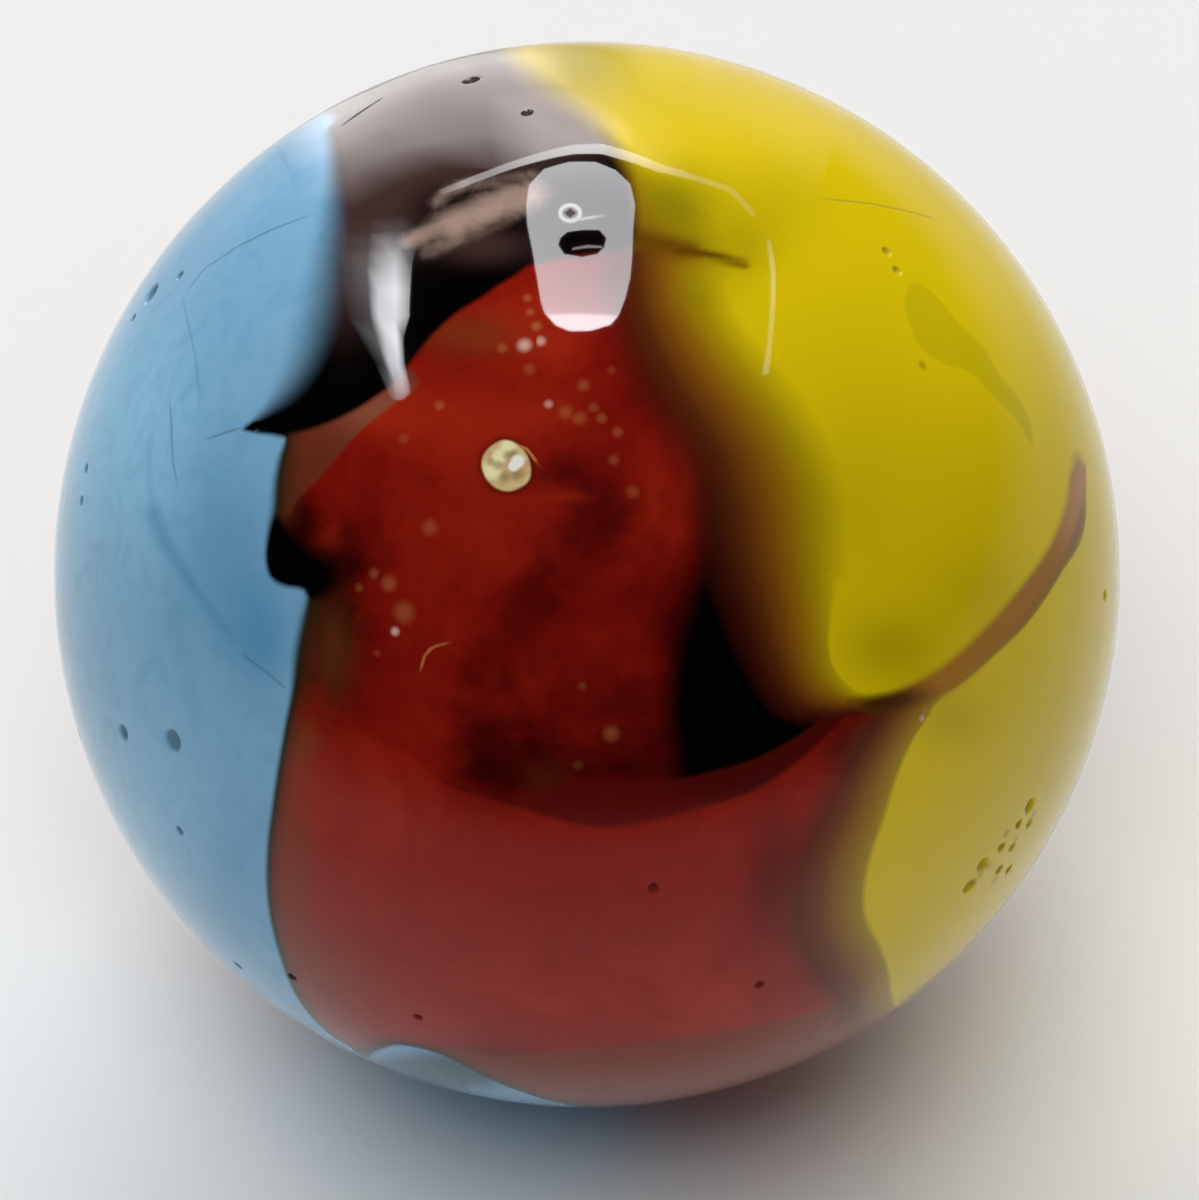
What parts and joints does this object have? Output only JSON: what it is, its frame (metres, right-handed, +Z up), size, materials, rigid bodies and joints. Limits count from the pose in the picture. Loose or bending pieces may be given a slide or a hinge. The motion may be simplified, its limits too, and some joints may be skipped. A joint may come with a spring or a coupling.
{
  "type": "glass marble",
  "caption": "Solid playing marble of opaque swirled glass in blue, yellow, red and near-black, with small pits from wear.",
  "frame": {"origin": "centre of the ball", "axes": "+Z up, -Y towards the viewer, +X to the viewer's right: blue glass on -X, yellow glass on +X, red glass in front"},
  "size_m": [0.016, 0.016, 0.016],
  "materials": {
    "swirled_glass": "fire-polished opaque glass, glossy, with patches of blue, yellow, clouded red and near-black"
  },
  "bodies": {
    "root": {"marble": "swirled_glass"}
  },
  "joints": []
}
